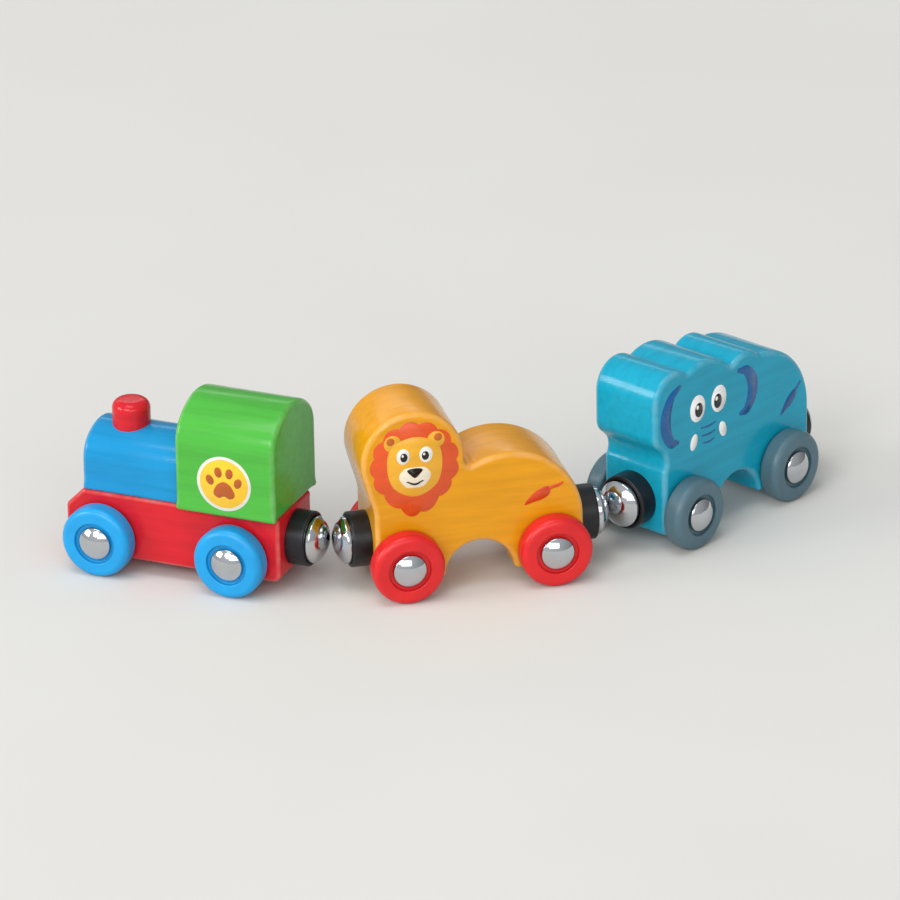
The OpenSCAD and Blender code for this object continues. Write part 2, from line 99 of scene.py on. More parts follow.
# The same, from the rear axle
LION_BACK = (-12.7, 18.4, 22.0)
ELEPHANT_BACK = (-9.5, 25.0, 22.3)

# Rounded rims, corners and hollows of the wooden blocks, in millimetres
WAGON_RIM = 1.6
CHASSIS_RIM = 1.2
BOILER_RIM = 1.4
CAB_RIM = 1.6
NOSE_CORNER_R = 1.8
BOILER_FOOT_R = 0.8
CAB_FOOT_R = 1.0
ARCH_CORNER_R = 1.6
CHEST_R = 14.0
NECK_R = 1.6
SHOULDER_HOLLOW_R = 3.0
EAR_HOLLOW_R = 1.4
LIP_R = 2.0

# How a rim follows its outline: the most it takes of the outline's own radius, how fast it widens along
# the outline, the points on its quarter circle, and where the flat side starts in rim radii
RIM_SHARE = 0.8
RIM_WIDENING = 0.4
RIM_POINTS = 9
FLAT_START = 1.15

# Small edges of the turned pieces, in millimetres
BORE_BACK_EDGE = 0.3
BORE_FRONT_EDGE = 0.15
RECESS_LIP = 0.35
RECESS_ROOT = 0.25
CAP_ROLL = 0.25
CAP_NECK = 0.1
CUP_BACK_EDGE = 0.1
CUP_MOUTH_EDGE = 0.3
MAGNET_PLAY = 0.05
MAGNET_NECK = 0.3
CHIMNEY_COLLAR = 1.0

# Fineness: longest step along an outline in millimetres, and sides of a turned piece
OUTLINE_STEP = 0.5
WHEEL_STEP = 0.35
CUP_STEP = 0.3
TURNED_SIDES = 96
WHEEL_SIDES = 128
CAP_SIDES = 72

# Fineness: points along a curve
CAP_DOME_POINTS = 24
MAGNET_DOME_POINTS = 28
CHIMNEY_EDGE_POINTS = 10
STROKE_END_POINTS = 9
LOCK_POINTS = 24
KNOT_POINTS = 10
OVAL_POINTS = 40
BADGE_POINTS = 72

# Points of a mesh that are closer than this are one, in metres
MERGE_GAP = 1e-7

# Thickness of one layer of print, its depth under the wood's surface and its bevel, in millimetres
PRINT_STEP = 0.04
PRINT_ROOT = 0.04
PRINT_BEVEL = 0.03

# Middle of the lion's face, of the elephant's face and height of the badge, in millimetres
LION_FACE = (-18.2, 40.4)
ELEPHANT_FACE = (-11.0, 39.8)
BADGE_Z = 34.4

# Direction that most of the light comes from, and the surroundings' strength away from it and towards it
LIGHT_WAY = (-0.58, -0.60, 0.55)
DIM_SIDE = 0.14
BRIGHT_SIDE = 0.72

# Even daylight: its strength, and the spread in degrees that softens its shadows
SUN_STRENGTH = 0.8
SUN_SPREAD = 24.0

# Soft lamps: name, place, width and height in metres, and power in watts; all face one point on the train
SOFTBOXES = [
    ("left softbox", (-2.3, 0.0, 1.0), 1.1, 0.8, 21.0),
    ("front softbox", (-0.5, -2.7, 1.4), 2.6, 1.3, 25.0),
    ("top softbox", (-0.5, -0.3, 2.4), 1.4, 1.0, 14.0),
    ("back softbox", (0.2, 2.4, 1.32), 3.0, 0.3, 4.5),
]
LAMP_TARGET = (0.0, 0.0, 0.02)

# Half the floor's width in metres
FLOOR_HALF = 6.0

# Camera's place from the lion wagon in millimetres, the share of the frame that the train fills, and the
# rounds that bring it to the middle
CAMERA_PLACE = (-540.9, -2218.1, 1060.0)
FRAME_SHARE = 0.88
AIM_ROUNDS = 4

# Tilt that the train has in the photo because it stands left of the middle there, in degrees
CAMERA_ROLL = -1.0


class Vehicle:
    """A vehicle's own frame in millimetres: x runs to the train's rear, y to its right side and z up.

    The origin lies on the ground under the middle of the wheelbase.
    """

    def __init__(self, prefix, body):
        self.prefix = prefix
        self.body = body
        front, rear = (self.middle(f"{prefix}_{end}_axle") for end in ("front", "rear"))
        span = rear - front
        self.wheelbase = np.linalg.norm(span)
        along = span / self.wheelbase
        self.axes = np.stack([along, np.cross(UP, along), UP])
        self.origin = (front + rear) / 2 * [1, 1, 0]
        self.front_axle = -self.wheelbase / 2
        self.rear_axle = self.wheelbase / 2
        self.wheel_r = front[2]
        self.turn = math.atan2(along[1], along[0])

    @staticmethod
    def middle(node):
        """Middle of a solid's box in the row frame, in millimetres."""
        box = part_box(node)
        return (np.array(box[0]) + np.array(box[1])) / 2 / MM

    def to_row(self, points):
        """Points of this frame as metres in the row frame."""
        return (self.origin + np.asarray(points, float) @ self.axes) * MM

    def box(self, node):
        """Lowest and highest corner of a solid in this frame."""
        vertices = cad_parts[node].data.vertices
        points = np.zeros(len(vertices) * 3)
        vertices.foreach_get("co", points)
        local = (points.reshape(-1, 3) / MM - self.origin) @ self.axes.T
        return local.min(0), local.max(0)


loco = Vehicle("loco", "locomotive")
lion = Vehicle("lion", "lion_wagon")
elephant = Vehicle("elephant", "elephant_wagon")
chassis_low, chassis_high = loco.box("loco_chassis")
boiler_low, boiler_high = loco.box("loco_boiler")
cab_low, cab_high = loco.box("loco_cab")
WHEEL_R = lion.wheel_r
BODY_HALF_W = lion.box("lion_body")[1][1]
CAB_HALF_W = cab_high[1]
UNDER = chassis_low[2]


# Outlines


def belt(circles, step=OUTLINE_STEP):
    """Closed outline that wraps a row of circles (u, v, radius) anticlockwise, like a belt round pulleys.

    Lines that touch both neighbours join the arcs. The outward normal n of the line between circles i and j
    solves (cj - ci) . n = ri - rj. A circle with a negative radius is a hollow that the outline dips into.
    Returns the points, their outward normals, and for each point the radius that it turns on.
    """
    finest_turn, tiny_turn, tiny_gap = 0.09, 1e-6, 1e-3
    circles = np.array(circles, float)
    centres, radii = circles[:, :2], circles[:, 2]
    span = np.roll(centres, -1, 0) - centres
    reach = np.hypot(span[:, 0], span[:, 1])
    tilt = np.arccos(np.clip((radii - np.roll(radii, -1)) / reach, -1, 1))
    leaving = np.arctan2(span[:, 1], span[:, 0]) - tilt
    arriving = np.roll(leaving, 1)
    sign = np.sign(radii)
    sweep = sign * (((leaving - arriving) * sign + tiny_turn) % (2 * np.pi) - tiny_turn)
    points, normals, turning = [], [], []
    for i in range(len(circles)):
        count = int(max(3, abs(sweep[i]) / finest_turn, abs(sweep[i] * radii[i]) / step)) + 1
        angle = arriving[i] + sweep[i] * np.linspace(0, 1, count)
        normal = np.stack([np.cos(angle), np.sin(angle)], -1)
        points.append(centres[i] + radii[i] * normal)
        normals.append(normal)
        turning.append(np.full(count, radii[i]))
    for i in range(len(circles)):
        start, end = points[i][-1], points[(i + 1) % len(circles)][0]
        count = int(np.linalg.norm(end - start) / (2 * step))
        share = (np.arange(1, count + 1) / (count + 1))[:, None]
        points[i] = np.concatenate([points[i], start + share * (end - start)])
        normals[i] = np.concatenate([normals[i], np.repeat(normals[i][-1:], count, 0)])
        turning[i] = np.concatenate([turning[i], np.full(count, np.inf)])
    points, normals, turning = (np.concatenate(part) for part in (points, normals, turning))
    apart = np.linalg.norm(points - np.roll(points, 1, 0), axis=1) > tiny_gap
    return points[apart], normals[apart], turning[apart]


def rounded_corners(corners):
    """Circles (u, v, radius) that round the corners (u, v, radius) of an anticlockwise convex polygon.

    A circle's middle lies r (a + b) / (1 + a . b) inside its corner, a and b being the inward normals.
    """
    corners = np.array(corners, float)
    points, radii = corners[:, :2], corners[:, 2:]
    edge = np.roll(points, -1, 0) - points
    edge /= np.linalg.norm(edge, axis=1, keepdims=True)
    after = np.stack([-edge[:, 1], edge[:, 0]], -1)
    before = np.roll(after, 1, 0)
    inward = (after + before) / (1 + (after * before).sum(1, keepdims=True))
    return np.hstack([points + radii * inward, radii]).tolist()


def moved(circle, along):
    """A circle (x, height, radius) moved along the vehicle."""
    x, height, radius = circle
    return [x + along, height, radius]


def hollow(first, second, radius):
    """Hollow circle of the given radius that nestles between two circles and touches both.

    It lies on the right of the way from the first to the second, where circles round their middles with
    the radii first + radius and second + radius cross.
    """
    a, b = np.array(first[:2]), np.array(second[:2])
    span = np.linalg.norm(b - a)
    ahead = (b - a) / span
    ra, rb = first[2] + radius, second[2] + radius
    along = (ra**2 - rb**2 + span**2) / (2 * span)
    aside = math.sqrt(ra**2 - along**2)
    centre = a + along * ahead + aside * np.array([ahead[1], -ahead[0]])
    return [centre[0], centre[1], -radius]


def arch_circles(middle, radius):
    """Arch in an underside, from front to rear: a rounded corner, the hollow, and a rounded corner."""
    reach = math.sqrt((radius + ARCH_CORNER_R) ** 2 - ARCH_CORNER_R**2)
    return [
        [middle - reach, UNDER + ARCH_CORNER_R, ARCH_CORNER_R],
        [middle, UNDER, -radius],
        [middle + reach, UNDER + ARCH_CORNER_R, ARCH_CORNER_R],
    ]


def arched_circles(half_w, low, high, crown_r, shoulder_r, foot_r):
    """Circles of a cross-section with upright sides, round shoulders and a crown that runs into them."""
    shoulder_y = half_w - shoulder_r
    crown_z = high - crown_r
    shoulder_z = crown_z + math.sqrt((crown_r - shoulder_r) ** 2 - shoulder_y**2)
    return [
        [foot_r - half_w, low + foot_r, foot_r],
        [half_w - foot_r, low + foot_r, foot_r],
        [shoulder_y, shoulder_z, shoulder_r],
        [0, crown_z, crown_r],
        [-shoulder_y, shoulder_z, shoulder_r],
    ]


def cubic(p0, p1, p2, p3):
    """Catmull-Rom curve from p1 to p2: the four nearest knots blended by cubic weights."""
    t = (np.arange(KNOT_POINTS) / KNOT_POINTS)[None, :, None]
    bend = 2 * p0 - 5 * p1 + 4 * p2 - p3
    twist = 3 * (p1 - p2) + p3 - p0
    return p1 + t / 2 * (p2 - p0 + t * (bend + t * twist))


def smooth_loop(knots):
    """Closed Catmull-Rom curve through the knots."""
    knots = np.array(knots, float)
    nearest = [np.roll(knots, shift, 0)[:, None, :] for shift in (1, 0, -1, -2)]
    return cubic(*nearest).reshape(-1, 2)


def smooth_line(knots):
    """Open Catmull-Rom curve through the knots, whose end knots are mirrored outwards."""
    knots = np.array(knots, float)
    knots = np.concatenate([[2 * knots[0] - knots[1]], knots, [2 * knots[-1] - knots[-2]]])
    nearest = [knots[i : len(knots) - 3 + i][:, None, :] for i in range(4)]
    return np.concatenate([cubic(*nearest).reshape(-1, knots.shape[1]), knots[-2:-1]])


def stroke(knots):
    """Outline of a brush stroke through knots (u, v, width): both sides of its line, and round ends."""
    line = smooth_line(knots)
    points, half = line[:, :2], line[:, 2] / 2
    ahead = np.gradient(points, axis=0)
    ahead /= np.linalg.norm(ahead, axis=1, keepdims=True)
    right = np.stack([ahead[:, 1], -ahead[:, 0]], -1)
    turn = np.linspace(0, np.pi, STROKE_END_POINTS)[1:-1, None]
    end_cap = points[-1] + half[-1] * (np.cos(turn) * right[-1] + np.sin(turn) * ahead[-1])
    start_cap = points[0] - half[0] * (np.cos(turn) * right[0] + np.sin(turn) * ahead[0])
    sides = half[:, None] * right
    return np.concatenate([points + sides, end_cap, (points - sides)[::-1], start_cap])


def oval(u, v, half_u, half_v, lean=0.0, count=OVAL_POINTS):
    """Ellipse about (u, v), leaning by an angle in degrees."""
    t = np.linspace(0, 2 * np.pi, count, endpoint=False)
    x, y = half_u * np.cos(t), half_v * np.sin(t)
    c, s = math.cos(math.radians(lean)), math.sin(math.radians(lean))
    return np.stack([u + c * x - s * y, v + s * x + c * y], -1)


def loop_normals(points):
    """Outward normals of an anticlockwise loop, from the direction between each point's neighbours."""
    ahead = np.roll(points, -1, 0) - np.roll(points, 1, 0)
    ahead /= np.linalg.norm(ahead, axis=1, keepdims=True)
    return np.stack([ahead[:, 1], -ahead[:, 0]], -1)


# Surfaces


def ring_faces(rows, columns, closed_rows=False):
    """Quads of a grid whose columns close into rings; its rows may close as well."""
    row = np.arange(rows if closed_rows else rows - 1)[:, None]
    column = np.arange(columns)[None, :]
    here, after = row * columns, (row + 1) % rows * columns
    beside = (column + 1) % columns
    quads = [here + column, here + beside, after + beside, after + column]
    return np.stack(np.broadcast_arrays(*quads), -1).reshape(-1, 4)


def rounded_block(outline, low, high, rim):
    """Block between two levels whose rims are rounded over: a profile carried round the outline.

    The profile is a wall with a quarter circle at each end. Its radius is the rim, and narrows where the
    outline turns on a smaller circle. Returns points (u, v, level), faces, and how far each point is
    on a rim, where the paint is paler: wear, and a painted highlight along the edge.
    """
    points, normals, turning = outline
    limit = np.where(turning > 0, np.minimum(RIM_SHARE * turning, rim), rim)
    gap = np.linalg.norm(points[:, None, :] - points[None, :, :], axis=2)
    edge = np.minimum((limit[None, :] + RIM_WIDENING * gap).min(1), rim)[:, None]
    t = np.linspace(0, np.pi / 2, RIM_POINTS)
    inset = np.concatenate([[FLAT_START], 1 - np.sin(t), [0], 1 - np.sin(t[::-1]), [FLAT_START]])
    depth = np.concatenate([[0], 1 - np.cos(t), [np.nan], 1 - np.cos(t[::-1]), [0]])
    # Paler paint at the middle of each rim's curve: wear, and a painted highlight along the edge
    wear_and_sheen = np.concatenate([[0], np.sin(2 * t), [0], np.sin(2 * t), [0]])
    rising = np.arange(len(depth)) < len(depth) // 2
    level = np.where(rising, low + edge * depth, high - edge * depth)
    level = np.where(np.isnan(level), (low + high) / 2, level).T
    flat = points[None] - inset[:, None, None] * (edge * normals)[None]
    grid = np.concatenate([flat, level[..., None]], -1)
    rows, columns = grid.shape[:2]
    faces = ring_faces(rows, columns).tolist()
    faces.append(np.arange(columns)[::-1].tolist())
    faces.append(np.arange((rows - 1) * columns, rows * columns).tolist())
    rim_wear_and_sheen = np.repeat(np.clip(wear_and_sheen, 0, 1), columns)
    return grid.reshape(-1, 3), faces, rim_wear_and_sheen


def turned(profile, sides=TURNED_SIDES, closed=True):
    """Surface of revolution: a profile (radius, height) carried round the height's axis.

    A closed profile gives a ring; an open one starts and ends on the axis. Returns points and faces.
    """
    profile = np.asarray(profile, float)
    angle = np.linspace(0, 2 * np.pi, sides, endpoint=False)
    radius, height = profile[:, :1], profile[:, 1:]
    grid = np.broadcast_arrays(radius * np.cos(angle), radius * np.sin(angle), height)
    return np.stack(grid, -1).reshape(-1, 3), ring_faces(len(profile), sides, closed).tolist()


def print_patch(loop, base, lift):
    """Thin patch of printed paint on a flat side: three copies of its outline, one above the other.

    The lowest lies under the surface, the next just below the top, and the last is inset to bevel the top.
    """
    normals = loop_normals(loop)
    bevel = min(lift / 2, PRINT_BEVEL)
    rows = [(0, base - PRINT_ROOT), (0, base + lift - bevel), (bevel, base + lift)]
    count = len(loop)
    copies = [np.column_stack([loop - inset * normals, np.full(count, level)]) for inset, level in rows]
    faces = ring_faces(len(rows), count).tolist()
    faces.append(np.arange(count)[::-1].tolist())
    faces.append(np.arange(2 * count, 3 * count).tolist())
    return np.concatenate(copies), faces


def joined(parts):
    """Several (points, faces) shapes as one."""
    points, faces, start = [], [], 0
    for part_points, part_faces in parts:
        points.append(part_points)
        faces.extend([[index + start for index in face] for face in part_faces])
        start += len(part_points)
    return np.concatenate(points), faces


def add_piece(name, points, faces, body, material, slot, replaced=(), rim_wear_and_sheen=None):
    """Makes a smooth mesh of points in metres that rides on a body, with its faces turned outwards."""
    mesh = bpy.data.meshes.new(name)
    mesh.from_pydata(points.tolist(), [], faces)
    if rim_wear_and_sheen is not None:
        # The rim attribute pales the paint on the rims: wear, and a painted highlight along the edges
        rim = mesh.attributes.new("rim", "FLOAT", "POINT")
        rim.data.foreach_set("value", rim_wear_and_sheen.astype(np.float32))
    shape = bmesh.new()
    shape.from_mesh(mesh)
    bmesh.ops.remove_doubles(shape, verts=shape.verts, dist=MERGE_GAP)
    bmesh.ops.recalc_face_normals(shape, faces=shape.faces)
    shape.to_mesh(mesh)
    shape.free()
    mesh.polygons.foreach_set("use_smooth", np.ones(len(mesh.polygons), bool))
    mesh.materials.append(material)
    piece = bpy.data.objects.new(name, mesh)
    bpy.context.scene.collection.objects.link(piece)
    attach(piece, body)
    if replaced:
        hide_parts(*replaced)


# Finishes

COLOUR, VALUE = "NodeSocketColor", "NodeSocketFloat"
FINISH_OUTPUTS = [("Colour", COLOUR), ("Roughness", VALUE), ("Height", VALUE)]

# Scale of each pattern, in waves per metre; fibres and pores are drawn out along the grain
FIBRE_SCALE = (40.0, 480.0, 480.0)
PORE_SCALE = (190.0, 2100.0, 2100.0)
PEEL_SCALE = 750.0
CLOUD_SCALE = 55.0
RUB_SCALE = 140.0
SKIN_SCALE = 2600.0
FLOW_SCALE = 120.0
HAIRLINE_SCALE = (400.0, 400.0, 6000.0)
HAIRLINE_TURN = (0.5, 0.3, 0.0)
FINGERMARK_SCALE = 260.0
FLOOR_SCALE = 9.0

# Tones that the finishes mix in
DEEP_TONE = (0.62, 0.62, 0.62, 1.0)
PALE_UNDERCOAT = (0.95, 0.90, 0.78, 1.0)
BLACK = (0.0, 0.0, 0.0, 1.0)
TARNISH = (0.32, 0.32, 0.34, 1.0)
STUDIO_WHITE = (0.98, 0.99, 1.0, 1.0)

# Share of the undercoat in the thinnest paint
UNDERCOAT_SHARE = 0.45

# Height of the peel and depth of the pores beside the grain, and height of the skin beside the flow marks
PEEL_HEIGHT = 0.35
PORE_DEPTH = 0.25
SKIN_HEIGHT = 0.5

# Height of the relief at full strength in metres, and roughness of the clear coat
RELIEF_HEIGHT = 0.0004
COAT_ROUGHNESS = 0.08


def srgb(code):
    """A colour code such as #1a96de as linear red, green, blue and alpha, by the sRGB curve."""
    part = np.array([int(code[i : i + 2], 16) for i in (1, 3, 5)]) / 255
    linear = np.where(part <= 0.04045, part / 12.92, ((part + 0.055) / 1.055) ** 2.4)
    return (*linear.tolist(), 1.0)


class Nodes:
    """Short way to add linked nodes to a material or a node group."""

    def __init__(self, tree):
        self.tree = tree

    @staticmethod
    def find(node, key):
        """A node's input by its number, as in i3, or by its name with _ for a space."""
        if key[0] == "i" and key[1:].isdigit():
            return node.inputs[int(key[1:])]
        return node.inputs[key.replace("_", " ")]

    def add(self, kind, settings=None, **inputs):
        """Adds a node; an input takes a value, or a socket to link."""
        node = self.tree.nodes.new(kind)
        for key, value in (settings or {}).items():
            setattr(node, key, value)
        for key, value in inputs.items():
            socket = self.find(node, key)
            if isinstance(value, bpy.types.NodeSocket):
                self.tree.links.new(value, socket)
            else:
                socket.default_value = value
        return node

    def link(self, socket, node, label):
        """Links a socket to a node's named input."""
        self.tree.links.new(socket, node.inputs[label])

    def place(self):
        """Place on the piece, in metres."""
        return self.add("ShaderNodeTexCoord").outputs["Object"]

    def math(self, operation, first, second):
        """One step of arithmetic on values."""
        return self.add("ShaderNodeMath", {"operation": operation}, i0=first, i1=second).outputs[0]

    def mix(self, share, first, second, blend="MIX"):
        """Mixes two colours by a share from 0 to 1."""
        settings = {"data_type": "RGBA", "blend_type": blend}
        return self.add("ShaderNodeMix", settings, i0=share, i6=first, i7=second).outputs[2]

    def noise(self, vector, scale=1.0, detail=2.0, roughness=0.5):
        """Cloudy noise from 0 to 1."""
        inputs = {"Vector": vector, "Scale": scale, "Detail": detail, "Roughness": roughness}
        return self.add("ShaderNodeTexNoise", **inputs).outputs[0]

    def stretch(self, value, window, onto=(0.0, 1.0)):
        """Stretches a window of values onto another range and holds it inside."""
        ends = {"i1": window[0], "i2": window[1], "i3": onto[0], "i4": onto[1]}
        return self.add("ShaderNodeMapRange", i0=value, **ends).outputs[0]


def new_group(name, inputs):
    """Empty shader node group with named sockets: the group, its builder, its input and its output node."""
    group = bpy.data.node_groups.new(name, "ShaderNodeTree")
    for label, kind in inputs:
        group.interface.new_socket(label, in_out="INPUT", socket_type=kind)
    for label, kind in FINISH_OUTPUTS:
        group.interface.new_socket(label, in_out="OUTPUT", socket_type=kind)
    build = Nodes(group)
    return group, build, build.add("NodeGroupInput"), build.add("NodeGroupOutput")


def lacquer_group():
    """Brushed-on gloss paint over sanded wood.

    The wood's fibres and pores and the brush's peel show faintly in the relief. The paint is deeper where
    the fibres lie low and in broad clouds, is paler on the rims as worn thin paint and as a painted
    highlight along the edges, and is rubbed duller in spots.
    """
    inputs = [("Colour", COLOUR), ("Turn", VALUE), ("Gloss", VALUE)]
    group, n, given, result = new_group("lacquer over wood", inputs)
    colour = given.outputs["Colour"]
    place = n.place()
    turn = n.add("ShaderNodeCombineXYZ", Z=given.outputs["Turn"]).outputs[0]
    turned_back = {"vector_type": "TEXTURE"}
    along_grain = n.add("ShaderNodeMapping", turned_back, Vector=place, Rotation=turn).outputs[0]
    fibres = n.add("ShaderNodeMapping", Vector=along_grain, Scale=FIBRE_SCALE).outputs[0]
    grain = n.noise(fibres, detail=5.0, roughness=0.6)
    short_lines = n.add("ShaderNodeMapping", Vector=along_grain, Scale=PORE_SCALE).outputs[0]
    pores = n.stretch(n.noise(short_lines, detail=1.0), window=(0.60, 0.72))
    peel = n.noise(place, PEEL_SCALE)
    cloud = n.noise(place, CLOUD_SCALE, detail=3.0)
    rubbed = n.noise(place, RUB_SCALE, detail=4.0, roughness=0.65)
    rim = n.add("ShaderNodeAttribute", {"attribute_name": "rim"}).outputs["Fac"]
    deep = n.mix(1.0, colour, DEEP_TONE, "MULTIPLY")
    clouded = n.mix(n.stretch(cloud, window=(0.3, 0.7), onto=(0.0, 0.22)), colour, deep)
    streaked = n.mix(n.stretch(grain, window=(0.58, 0.36), onto=(0.0, 0.30)), clouded, deep)
    # Undercoat showing on the rims: worn thin paint, and a painted highlight along the edges
    thin_paint_and_sheen = n.math("MULTIPLY", rim, n.stretch(rubbed, window=(0.35, 0.7), onto=(0.05, 0.30)))
    pale = n.mix(UNDERCOAT_SHARE, colour, PALE_UNDERCOAT)
    n.link(n.mix(thin_paint_and_sheen, streaked, pale), result, "Colour")
    dull = n.stretch(rubbed, window=(0.4, 0.75), onto=(0.0, 0.14))
    n.link(n.math("ADD", given.outputs["Gloss"], dull), result, "Roughness")
    raised = n.math("ADD", grain, n.math("MULTIPLY", peel, PEEL_HEIGHT))
    n.link(n.math("SUBTRACT", raised, n.math("MULTIPLY", pores, PORE_DEPTH)), result, "Height")
    return group


def moulded_group():
    """Moulded plastic: a fine eroded skin, slightly uneven gloss and faint flow marks in the colour."""
    group, n, given, result = new_group("moulded plastic", [("Colour", COLOUR), ("Gloss", VALUE)])
    place = n.place()
    skin = n.noise(place, SKIN_SCALE)
    flow = n.noise(place, FLOW_SCALE, detail=3.0)
    darker = n.stretch(flow, window=(0.35, 0.7), onto=(0.0, 0.14))
    n.link(n.mix(darker, given.outputs["Colour"], BLACK), result, "Colour")
    dull = n.stretch(flow, window=(0.3, 0.7), onto=(0.0, 0.10))
    n.link(n.math("ADD", given.outputs["Gloss"], dull), result, "Roughness")
    n.link(n.math("ADD", n.math("MULTIPLY", skin, SKIN_HEIGHT), flow), result, "Height")
    return group


def plated_group():
    """Bright plating: hairline scratches one way, and fingermarks that dull and tarnish it in spots."""
    group, n, given, result = new_group("bright plating", [("Colour", COLOUR), ("Gloss", VALUE)])
    place = n.place()
    drawn_out = {"Scale": HAIRLINE_SCALE, "Rotation": HAIRLINE_TURN}
    lines = n.add("ShaderNodeMapping", Vector=place, **drawn_out).outputs[0]
    hair = n.noise(lines, detail=3.0, roughness=0.7)
    marks = n.noise(place, FINGERMARK_SCALE, detail=3.0, roughness=0.6)
    tarnished = n.stretch(marks, window=(0.45, 0.75), onto=(0.0, 0.18))
    n.link(n.mix(tarnished, given.outputs["Colour"], TARNISH), result, "Colour")
    marked = n.stretch(marks, window=(0.45, 0.75), onto=(0.0, 0.10))
    scratched = n.stretch(hair, window=(0.5, 0.8), onto=(0.0, 0.06))
    dull = n.math("ADD", marked, scratched)
    n.link(n.math("ADD", given.outputs["Gloss"], dull), result, "Roughness")
    n.link(hair, result, "Height")
    return group


LACQUER = lacquer_group()
MOULDED = moulded_group()
PLATED = plated_group()


def finish(name, group, code, gloss, relief, turn=None, metallic=0.0, specular=0.4, coat=0.0):
    """Material with one of the finish groups in front of its own shader."""
    material = bpy.data.materials.new(name)
    material.use_nodes = True
    n = Nodes(material.node_tree)
    shader = n.tree.nodes["Principled BSDF"]
    look = n.add("ShaderNodeGroup", {"node_tree": group}, Colour=srgb(code), Gloss=gloss)
    if turn is not None:
        look.inputs["Turn"].default_value = turn
    bump = n.add("ShaderNodeBump", Strength=relief, Distance=RELIEF_HEIGHT, Height=look.outputs["Height"])
    n.link(look.outputs["Colour"], shader, "Base Color")
    n.link(look.outputs["Roughness"], shader, "Roughness")
    n.link(bump.outputs["Normal"], shader, "Normal")
    shader.inputs["Metallic"].default_value = metallic
    shader.inputs["Specular IOR Level"].default_value = specular
    shader.inputs["Coat Weight"].default_value = coat
    shader.inputs["Coat Roughness"].default_value = COAT_ROUGHNESS
    return material


def paint(name, code, vehicle):
    """Gloss paint on a vehicle's wood, whose grain runs along the vehicle."""
    return finish(name, LACQUER, code, gloss=0.14, relief=0.13, turn=vehicle.turn, specular=0.25, coat=0.1)


def printed(name, code, vehicle):
    """Printed paint, a little flatter than the gloss paint under it."""
    return finish(name, LACQUER, code, gloss=0.22, relief=0.10, turn=vehicle.turn, coat=0.15)


loco_red = paint("loco red paint", "#d01d29", loco)
boiler_blue = paint("boiler blue paint", "#128fc8", loco)
cab_green = paint("cab green paint", "#4db040", loco)
lion_amber = paint("lion amber paint", "#e69d12", lion)
elephant_teal = paint("elephant teal paint", "#12a0bf", elephant)
sky_wheel = finish("sky blue wheels", MOULDED, "#159bdb", gloss=0.28, relief=0.05)
red_wheel = finish("red wheels", MOULDED, "#dc2024", gloss=0.28, relief=0.05)
grey_wheel = finish("grey wheels", MOULDED, "#52707c", gloss=0.30, relief=0.05)
black_plastic = finish("black cup plastic", MOULDED, "#15161a", gloss=0.30, relief=0.08)
chrome = finish("chrome plating", PLATED, "#c6c9cd", gloss=0.05, relief=0.02, metallic=1.0)
axle_steel = finish("axle steel", PLATED, "#a7abb0", gloss=0.25, relief=0.05, metallic=1.0)
bare_wood = finish("bare dowel wood", LACQUER, "#d9b683", gloss=0.55, relief=0.20, turn=loco.turn)


# Wooden blocks


def side_block(vehicle, name, circles, rim, material, slot, node):
    """Block whose outline is the side view (x, z), as wide as the vehicles' bodies are."""
    points, faces, rim_wear_and_sheen = rounded_block(belt(circles), -BODY_HALF_W, BODY_HALF_W, rim)
    row = vehicle.to_row(points[:, [0, 2, 1]])
    add_piece(name, row, faces, vehicle.body, material, slot, [node], rim_wear_and_sheen)


def end_block(vehicle, name, circles, rim, material, slot, node):
    """Block whose outline is the end view (y, z), as long as the solid that it stands for."""
    low, high = vehicle.box(node)
    points, faces, rim_wear_and_sheen = rounded_block(belt(circles), low[0], high[0], rim)
    row = vehicle.to_row(points[:, [2, 0, 1]])
    add_piece(name, row, faces, vehicle.body, material, slot, [node], rim_wear_and_sheen)


def chassis_circles():
    """Circles that round the chassis's side view: feet, the rear edge, and the bevel of the nose."""
    front, rear, top = chassis_low[0], chassis_high[0], chassis_high[2]
    corners = [
        [front, UNDER, FOOT_R],
        [rear, UNDER, FOOT_R],
        [rear, top, CHASSIS_RIM],
        [front + NOSE_BEVEL, top, NOSE_CORNER_R],
        [front, top - NOSE_BEVEL, NOSE_CORNER_R],
    ]
    return rounded_corners(corners)


def boiler_circles():
    """Circles of the boiler's end view."""
    half_w, low, high = boiler_high[1], boiler_low[2], boiler_high[2]
    return arched_circles(half_w, low, high, BOILER_CROWN_R, BOILER_SHOULDER_R, BOILER_FOOT_R)


def cab_circles():
    """Circles of the cab's end view."""
    return arched_circles(CAB_HALF_W, cab_low[2], cab_high[2], CAB_CROWN_R, CAB_SHOULDER_R, CAB_FOOT_R)


def lion_circles():
    """Circles of the lion's side view: feet and arch, back, neck, head and chest."""
    front = lion.box("lion_front_cup")[1][0]
    rear = lion.box("lion_rear_cup")[0][0]
    head = moved(LION_HEAD, lion.front_axle)
    back = moved(LION_BACK, lion.rear_axle)
    return [
        [front + FOOT_R, UNDER + FOOT_R, FOOT_R],
        *arch_circles(LION_ARCH_X, LION_ARCH_R),
        [rear - FOOT_R, UNDER + FOOT_R, FOOT_R],
        back,
        hollow(back, head, NECK_R),
        head,
        [front - CHEST_R, CHEST_Z, -CHEST_R],
    ]


